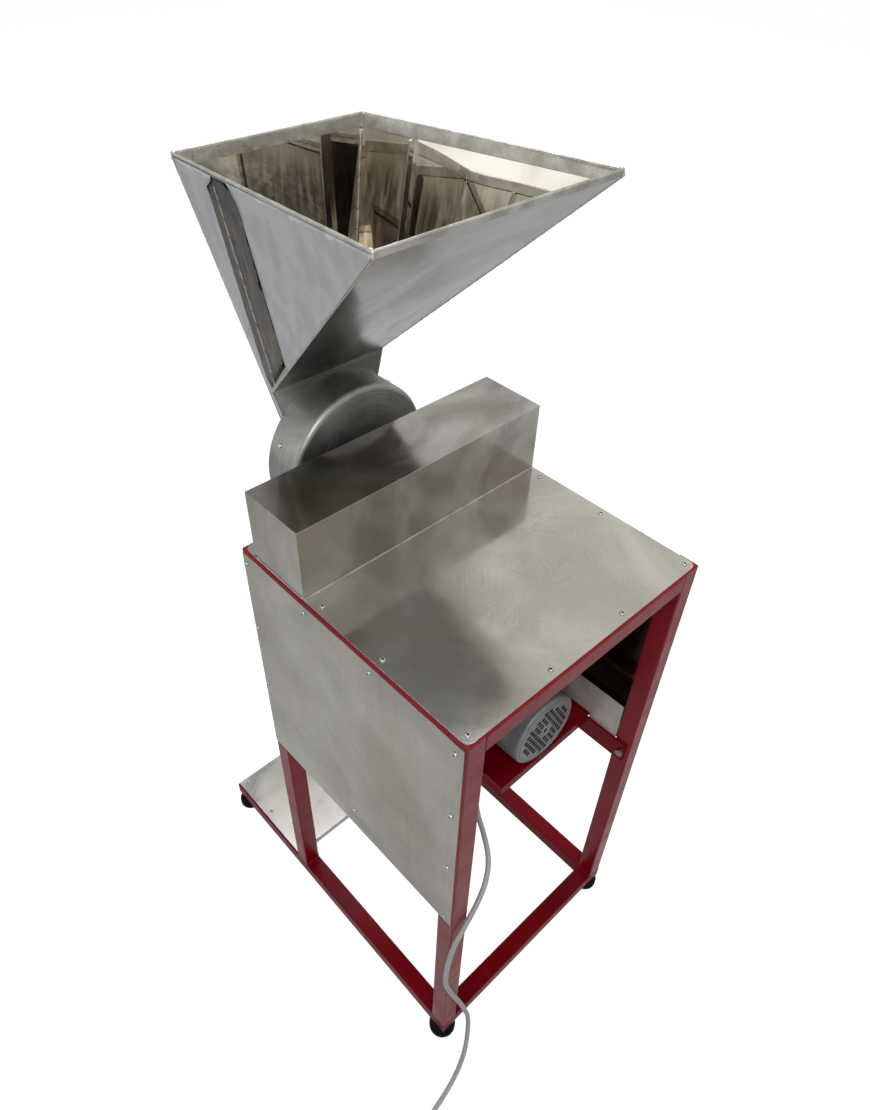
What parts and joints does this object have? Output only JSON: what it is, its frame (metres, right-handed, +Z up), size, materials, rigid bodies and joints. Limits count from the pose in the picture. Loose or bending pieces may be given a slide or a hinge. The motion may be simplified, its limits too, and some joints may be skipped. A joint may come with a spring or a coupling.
{
  "type": "sugar grinder",
  "caption": "Belt-driven sugar mill: sheet-metal hopper over a round hammer-mill drum, on a red four-legged tube frame with the motor slung below its top plate.",
  "frame": {"origin": "middle of the base on the floor", "axes": "+Z up; -Y towards the hopper, the mill drum and the deck; +Y towards the open back with the motor's fan; +X towards the side with the mains cord"},
  "size_m": [0.755, 0.8451, 1.3371],
  "materials": {
    "red_paint": "gloss",
    "foot_rubber": "matte",
    "zinc": "satin",
    "stainless": "brushed",
    "drum_steel": "brushed",
    "motor_grey": "satin",
    "fan_cover_grey": "satin",
    "box_grey": "satin",
    "black_plastic": "matte",
    "pulley_iron": "satin",
    "belt_rubber": "matte",
    "bearing_blue": "satin",
    "hardened_steel": "satin",
    "cord_grey": "satin"
  },
  "bodies": {
    "frame": {"leg_front_left": "red_paint", "leg_front_right": "red_paint", "leg_back_left": "red_paint", "leg_back_right": "red_paint", "top_rail_front": "red_paint", "top_rail_back": "red_paint", "top_rail_left": "red_paint", "top_rail_right": "red_paint", "base_rail_front": "red_paint", "base_rail_back": "red_paint", "base_rail_left": "red_paint", "base_rail_right": "red_paint", "panel_rail_left": "red_paint", "motor_rail_right": "red_paint", "motor_cross_bars": "red_paint", "feet": "foot_rubber", "foot_studs": "zinc", "deck_plate": "stainless", "top_plate": "stainless", "belt_cover": "stainless", "side_panel_left": "stainless", "side_panel_right": "stainless", "guard_strip": "stainless", "sheet_screws": "zinc", "motor_plate": "red_paint", "motor_bolts": "zinc", "motor_body": "motor_grey", "motor_end_shield": "motor_grey", "fan_cover": "fan_cover_grey", "terminal_box": "box_grey", "terminal_lid": "box_grey", "cable_gland": "black_plastic", "v_belt": "belt_rubber", "bearing_back": "bearing_blue", "bearing_front": "bearing_blue", "bearing_bolts": "zinc", "mill_drum": "drum_steel", "mill_front_cover": "drum_steel", "drum_screws": "zinc", "sieve_ring": "stainless", "outlet_spout": "stainless", "hopper_front": "stainless", "hopper_back": "stainless", "gate_guides": "stainless", "power_cord": "cord_grey", "cord_coil": "cord_grey", "cord_plug": "cord_grey"},
    "mill_rotor": {"mill_shaft": "zinc", "mill_pulley": "pulley_iron", "rotor_disc": "hardened_steel", "hammer_pins": "zinc"},
    "motor_rotor": {"motor_shaft": "zinc", "motor_fan": "black_plastic", "motor_pulley": "pulley_iron"},
    "switch": {"switch_rocker": "black_plastic"},
    "feed_gate": {"feed_gate": "stainless"},
    "hammer_1": {"hammer_1": "hardened_steel"},
    "hammer_2": {"hammer_2": "hardened_steel"},
    "hammer_3": {"hammer_3": "hardened_steel"},
    "hammer_4": {"hammer_4": "hardened_steel"}
  },
  "joints": [
    {"name": "motor_spin", "type": "hinge", "parent": "frame", "child": "motor_rotor", "pos_m": [-0.064, 0.1, 0.5635], "axis": [0, 1, 0], "continuous": true},
    {"name": "mill_spin", "type": "hinge", "parent": "frame", "child": "mill_rotor", "pos_m": [0.008, -0.024, 0.923], "axis": [0, 1, 0], "continuous": true},
    {"name": "hammer_1_swing", "type": "hinge", "parent": "mill_rotor", "child": "hammer_1", "pos_m": [0.04335, -0.142, 0.95835], "axis": [0, 1, 0], "range_deg": [-70, 70]},
    {"name": "hammer_2_swing", "type": "hinge", "parent": "mill_rotor", "child": "hammer_2", "pos_m": [-0.02736, -0.142, 0.95835], "axis": [0, 1, 0], "range_deg": [-70, 70]},
    {"name": "hammer_3_swing", "type": "hinge", "parent": "mill_rotor", "child": "hammer_3", "pos_m": [-0.02736, -0.142, 0.88765], "axis": [0, 1, 0], "range_deg": [-70, 70]},
    {"name": "hammer_4_swing", "type": "hinge", "parent": "mill_rotor", "child": "hammer_4", "pos_m": [0.04335, -0.142, 0.88765], "axis": [0, 1, 0], "range_deg": [-70, 70]},
    {"name": "switch_tip", "type": "hinge", "parent": "frame", "child": "switch", "pos_m": [0.014, 0.078, 0.616], "axis": [1, 0, 0], "range_deg": [0, 22]},
    {"name": "gate_slide", "type": "slide", "parent": "frame", "child": "feed_gate", "axis": [0, -1, 0], "range_m": [0, 0.034]}
  ],
  "couplings": [
    {"joint": "mill_spin", "follows": "motor_spin", "ratio": 1.7333}
  ]
}
